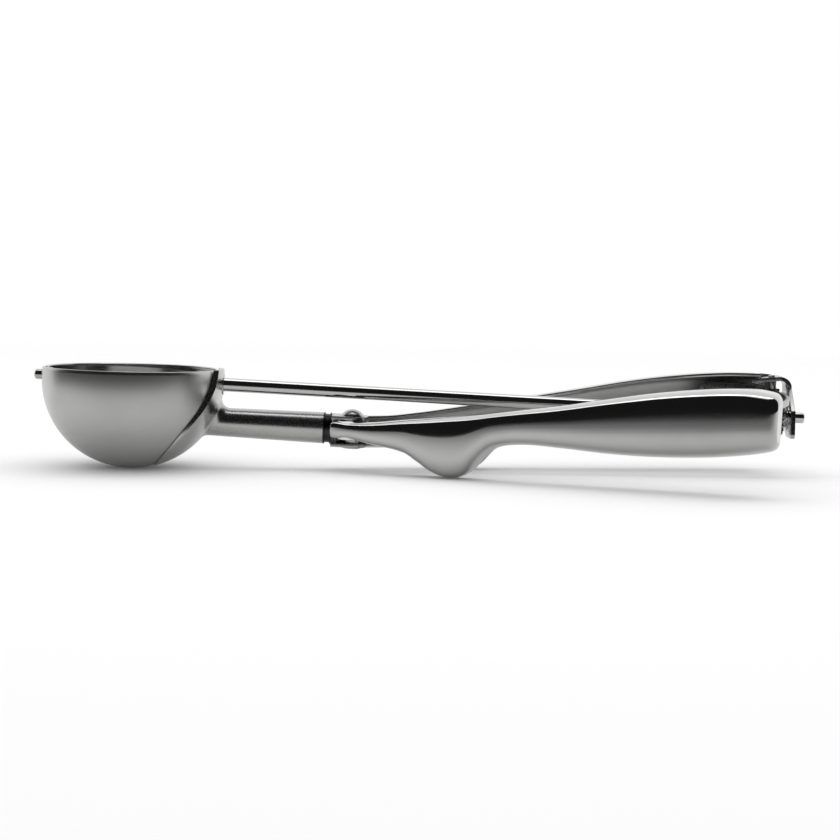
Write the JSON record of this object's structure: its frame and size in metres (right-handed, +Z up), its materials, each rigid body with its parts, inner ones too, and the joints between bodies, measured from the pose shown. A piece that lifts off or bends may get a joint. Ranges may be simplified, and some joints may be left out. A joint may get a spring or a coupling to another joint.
{
  "type": "lever ice cream scoop",
  "caption": "Stainless ice cream scoop: squeezing the splayed lever turns a thin wiper hoop round inside the bowl, through a curved rack, a pinion and a long spindle.",
  "frame": {"origin": "bottom centre of the bounding box, on the table that the bowl and finger stops rest on", "axes": "+X from the bowl to the tail of the handles, +Y towards the fixed handle, +Z up"},
  "size_m": [0.2258, 0.083, 0.0299],
  "materials": {
    "polished_steel": "mirror-polished stainless steel",
    "handle_steel": "pressed stainless sheet, polished and finely brushed along its length",
    "satin_steel": "cast stainless steel, satin polished",
    "dark_steel": "turned stainless steel with a dark oxide",
    "pressed_steel": "pressed stainless sheet, bead-blasted grey",
    "turned_steel": "turned stainless steel",
    "spring_steel": "hard-drawn stainless strip and wire",
    "gear_steel": "stamped stainless steel"
  },
  "bodies": {
    "frame": {"bowl": "polished_steel", "neck_casting": "satin_steel", "spindle_bush": "turned_steel", "neck_collar": "dark_steel", "pivot_fork": "pressed_steel", "pivot_rivet": "polished_steel", "pivot_spacer": "turned_steel", "torsion_spring": "spring_steel", "fixed_handle": "handle_steel", "fork_rivets": "turned_steel", "backing_plate": "pressed_steel", "plate_posts": "turned_steel", "tail_bracket": "pressed_steel", "stop_stud": "turned_steel", "tab_rivet": "turned_steel", "tail_bush": "turned_steel"},
    "lever": {"lever_handle": "handle_steel", "rack_carrier": "turned_steel", "rack": "gear_steel", "rack_rivets": "turned_steel"},
    "wiper": {"spindle": "polished_steel", "pinion": "gear_steel", "thrust_washer": "turned_steel", "wiper_hub": "turned_steel", "wiper_blade": "spring_steel", "wiper_front_pin": "polished_steel"}
  },
  "joints": [
    {"name": "lever_pivot", "type": "hinge", "parent": "frame", "child": "lever", "pos_m": [-0.01933, 0.01562, 0.02305], "axis": [0.0421, 0, 0.9991], "range_deg": [0, 7.2], "stiffness_Nm_per_rad": 0.6, "springref_deg": -20.05, "deforming": ["torsion_spring"]},
    {"name": "wiper_spin", "type": "hinge", "parent": "frame", "child": "wiper", "pos_m": [-0.08467, 0.01562, 0.0258], "axis": [0.9991, 0, -0.0421], "range_deg": [-180, 0]}
  ],
  "couplings": [
    {"joint": "wiper_spin", "follows": "lever_pivot", "ratio": -25}
  ]
}
